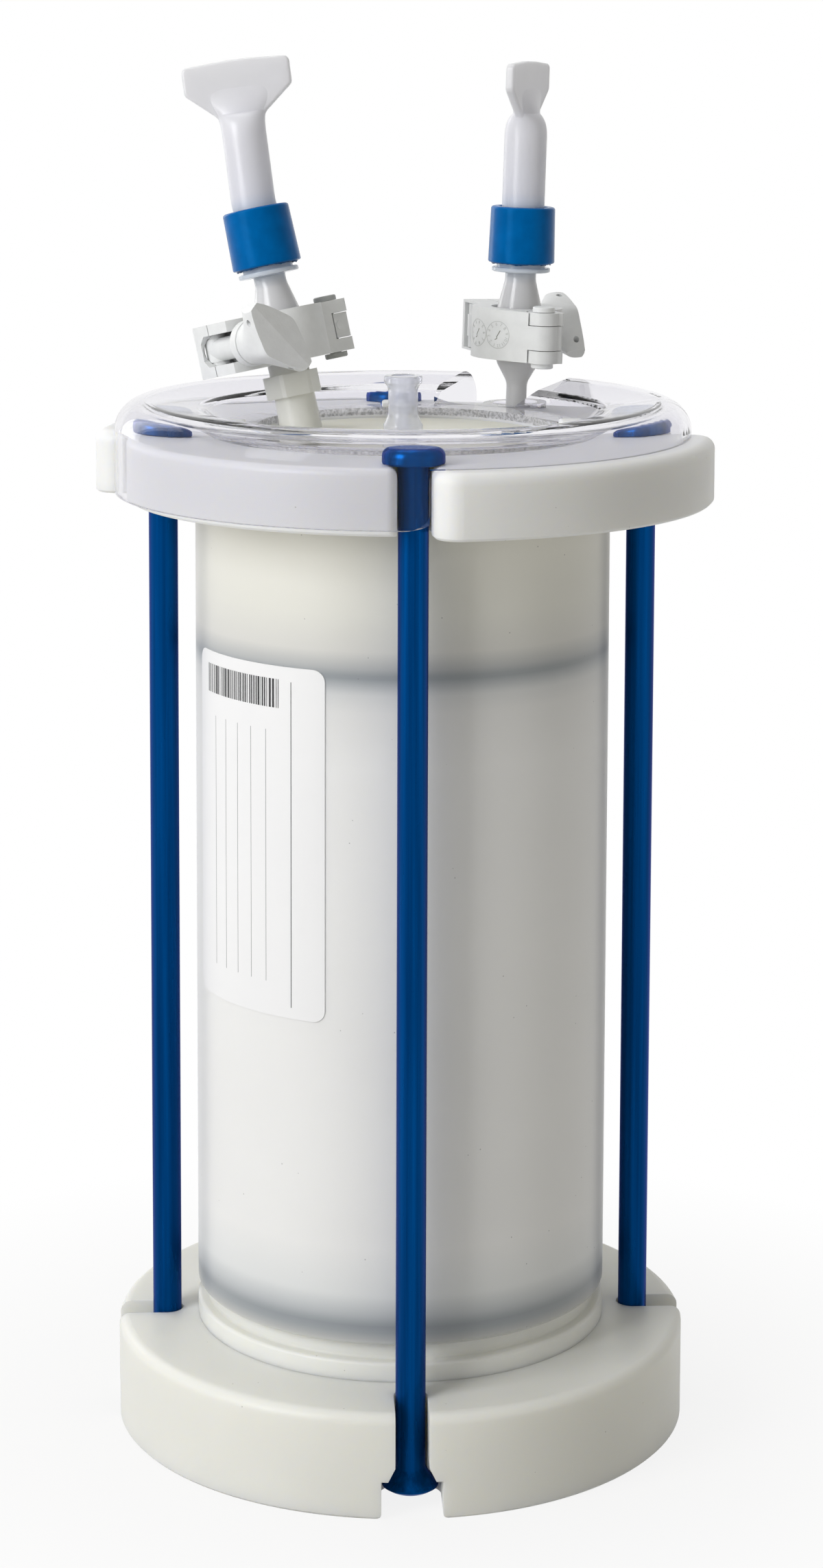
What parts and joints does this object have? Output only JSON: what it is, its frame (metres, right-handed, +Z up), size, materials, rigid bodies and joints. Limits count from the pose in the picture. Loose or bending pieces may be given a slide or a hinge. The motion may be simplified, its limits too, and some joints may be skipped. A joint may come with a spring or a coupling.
{
  "type": "chromatography column",
  "caption": "Prepacked laboratory chromatography column: translucent tube between a slotted base and a yoke, held by tie rods, with a clear cover and two clamped, capped lines.",
  "frame": {"origin": "centre of the base plate's underside", "axes": "+Z up along the column's axis, front at -Y, the tie rods on the X and Y axes"},
  "size_m": [0.2078, 0.2097, 0.4663],
  "materials": {
    "polypropylene": "milky satin",
    "tube_plastic": "translucent satin",
    "steel_blue": "deep blue satin",
    "collar_blue": "bright blue gloss",
    "clear_sheet": "clear, glossy",
    "vent_clear": "clear, glossy",
    "nylon": "white satin",
    "soft_translucent": "translucent satin",
    "fitting_blue_grey": "translucent satin",
    "seal": "matte",
    "label": "bare white, matte",
    "resin": "matte"
  },
  "bodies": {
    "column": {"base_plate": "polypropylene", "bottom_lid": "polypropylene", "bottom_o_ring": "seal", "bottom_bed_support": "polypropylene", "resin_bed": "resin", "column_tube": "tube_plastic", "top_bed_support": "polypropylene", "top_o_ring": "seal", "top_adapter": "polypropylene", "top_yoke": "polypropylene", "clear_cover": "clear_sheet", "vent_fitting": "vent_clear", "column_label": "label", "outlet_riser": "tube_plastic", "tie_rod_right": "steel_blue", "tie_rod_back": "steel_blue", "tie_rod_left": "steel_blue", "tie_rod_front": "steel_blue", "left_adapter": "nylon", "left_gasket": "seal", "left_connector": "fitting_blue_grey", "left_crimp_collar": "collar_blue", "left_end_cap": "soft_translucent", "left_clamp_jaw_a": "nylon", "left_hinge_pin": "nylon", "right_adapter": "nylon", "right_gasket": "seal", "right_connector": "fitting_blue_grey", "right_crimp_collar": "collar_blue", "right_end_cap": "soft_translucent", "right_clamp_jaw_a": "nylon", "right_hinge_pin": "nylon"},
    "left_jaw_b": {"left_clamp_jaw_b": "nylon"},
    "left_bolt": {"left_swing_bolt": "nylon"},
    "left_thrust_ring": {"left_thrust_collar": "nylon"},
    "left_nut": {"left_wing_nut": "nylon"},
    "right_jaw_b": {"right_clamp_jaw_b": "nylon"},
    "right_bolt": {"right_swing_bolt": "nylon"},
    "right_thrust_ring": {"right_thrust_collar": "nylon"},
    "right_nut": {"right_wing_nut": "nylon"}
  },
  "joints": [
    {"name": "left_bolt_swing", "type": "hinge", "parent": "column", "child": "left_bolt", "pos_m": [-0.06238, 0.00314, 0.3679], "axis": [0.2036, -0.1027, -0.9736], "range_deg": [0, 42]},
    {"name": "left_nut_travel", "type": "slide", "parent": "left_bolt", "child": "left_thrust_ring", "axis": [0.5735, -0.7935, 0.2037], "range_m": [0, 0.0046]},
    {"name": "left_nut_turn", "type": "hinge", "parent": "left_thrust_ring", "child": "left_nut", "pos_m": [-0.06238, 0.00314, 0.3679], "axis": [0.5735, -0.7935, 0.2037], "range_deg": [0, 1080]},
    {"name": "left_jaw_open", "type": "hinge", "parent": "column", "child": "left_jaw_b", "pos_m": [-0.02392, 0.02547, 0.37359], "axis": [-0.2036, 0.1027, 0.9736], "range_deg": [0, 5.1]},
    {"name": "right_bolt_swing", "type": "hinge", "parent": "column", "child": "right_bolt", "pos_m": [0.03046, 0.08234, 0.3689], "axis": [0.0296, -0.0013, 0.9996], "range_deg": [0, 42]},
    {"name": "right_nut_travel", "type": "slide", "parent": "right_bolt", "child": "right_thrust_ring", "axis": [0.9422, 0.3338, -0.0275], "range_m": [0, 0.0046]},
    {"name": "right_nut_turn", "type": "hinge", "parent": "right_thrust_ring", "child": "right_nut", "pos_m": [0.03046, 0.08234, 0.3689], "axis": [0.9422, 0.3338, -0.0275], "range_deg": [0, 1080]},
    {"name": "right_jaw_open", "type": "hinge", "parent": "column", "child": "right_jaw_b", "pos_m": [0.05049, 0.04222, 0.36825], "axis": [-0.0296, 0.0013, -0.9996], "range_deg": [0, 5.1]}
  ],
  "couplings": [
    {"joint": "left_nut_travel", "follows": "left_nut_turn", "m_per_rad": 0.00023873},
    {"joint": "left_jaw_open", "follows": "left_nut_turn", "ratio": 0.0046296},
    {"joint": "right_nut_travel", "follows": "right_nut_turn", "m_per_rad": 0.00023873},
    {"joint": "right_jaw_open", "follows": "right_nut_turn", "ratio": 0.0046296}
  ]
}
